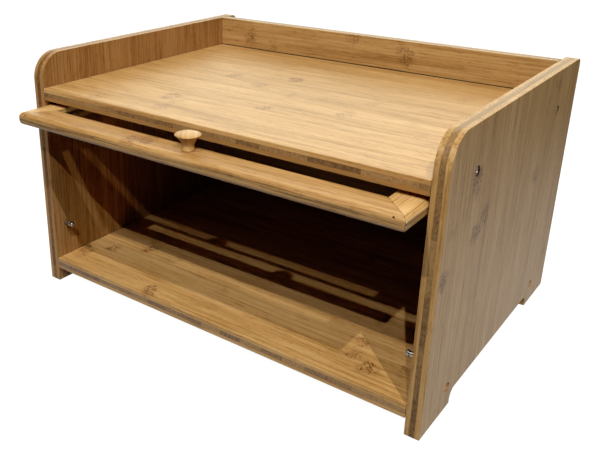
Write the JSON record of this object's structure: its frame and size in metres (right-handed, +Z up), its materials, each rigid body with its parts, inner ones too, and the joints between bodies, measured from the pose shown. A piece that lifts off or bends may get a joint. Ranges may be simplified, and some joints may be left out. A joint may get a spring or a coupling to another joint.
{
  "type": "bread box",
  "caption": "Bamboo bread box with a rimmed tray top and a framed, windowed door with a turned knob; the door swings up on side pins and slides back under the top.",
  "frame": {"origin": "on the floor under the middle of the box's outline at rest, with the door raised and pushed in as stored", "axes": "+X to the right seen from the front, +Y to the back, +Z up"},
  "size_m": [0.4, 0.3254, 0.23],
  "materials": {
    "bamboo_side": "satin lacquered three-ply bamboo board",
    "bamboo_shelf": "satin lacquered three-ply bamboo board, pale",
    "bamboo_frame": "satin lacquered bamboo moulding",
    "bamboo_knob": "turned laminated bamboo, satin",
    "dowel_wood": "plain beech",
    "steel": "zinc-plated steel",
    "clear_acrylic": "clear polished sheet"
  },
  "bodies": {
    "carcass": {"back_dowel_lower_left": "dowel_wood", "back_dowel_lower_right": "dowel_wood", "back_dowel_upper_left": "dowel_wood", "back_dowel_upper_right": "dowel_wood", "back_panel": "bamboo_side", "back_screw_lower_left": "steel", "back_screw_lower_right": "steel", "back_screw_upper_left": "steel", "back_screw_upper_right": "steel", "bottom_panel": "bamboo_shelf", "door_stop_peg_left": "steel", "door_stop_peg_right": "steel", "shelf_dowel_lower_left": "dowel_wood", "shelf_dowel_lower_right": "dowel_wood", "shelf_dowel_upper_left": "dowel_wood", "shelf_dowel_upper_right": "dowel_wood", "side_panel_left": "bamboo_side", "side_panel_right": "bamboo_side", "side_screw_left_lower_front": "steel", "side_screw_left_lower_rear": "steel", "side_screw_left_upper_front": "steel", "side_screw_left_upper_rear": "steel", "side_screw_right_lower_front": "steel", "side_screw_right_lower_rear": "steel", "side_screw_right_upper_front": "steel", "side_screw_right_upper_rear": "steel", "top_panel": "bamboo_shelf"},
    "pin_carriage": {"door_pivot_pin_left": "steel", "door_pivot_pin_right": "steel"},
    "door": {"door_corner_brad_left": "steel", "door_corner_brad_right": "steel", "door_front_rail": "bamboo_frame", "door_rear_rail": "bamboo_frame", "door_stile_left": "bamboo_frame", "door_stile_right": "bamboo_frame", "door_window_pane": "clear_acrylic", "knob": "bamboo_knob", "knob_screw": "steel"}
  },
  "joints": [
    {"name": "door_slide", "type": "slide", "parent": "carcass", "child": "pin_carriage", "axis": [0, -1, 0], "range_m": [-0.006, 0.11385]},
    {"name": "door_swing", "type": "hinge", "parent": "pin_carriage", "child": "door", "pos_m": [0, -0.01145, 0.17825], "axis": [1, 0, 0], "range_deg": [0, 90]}
  ]
}
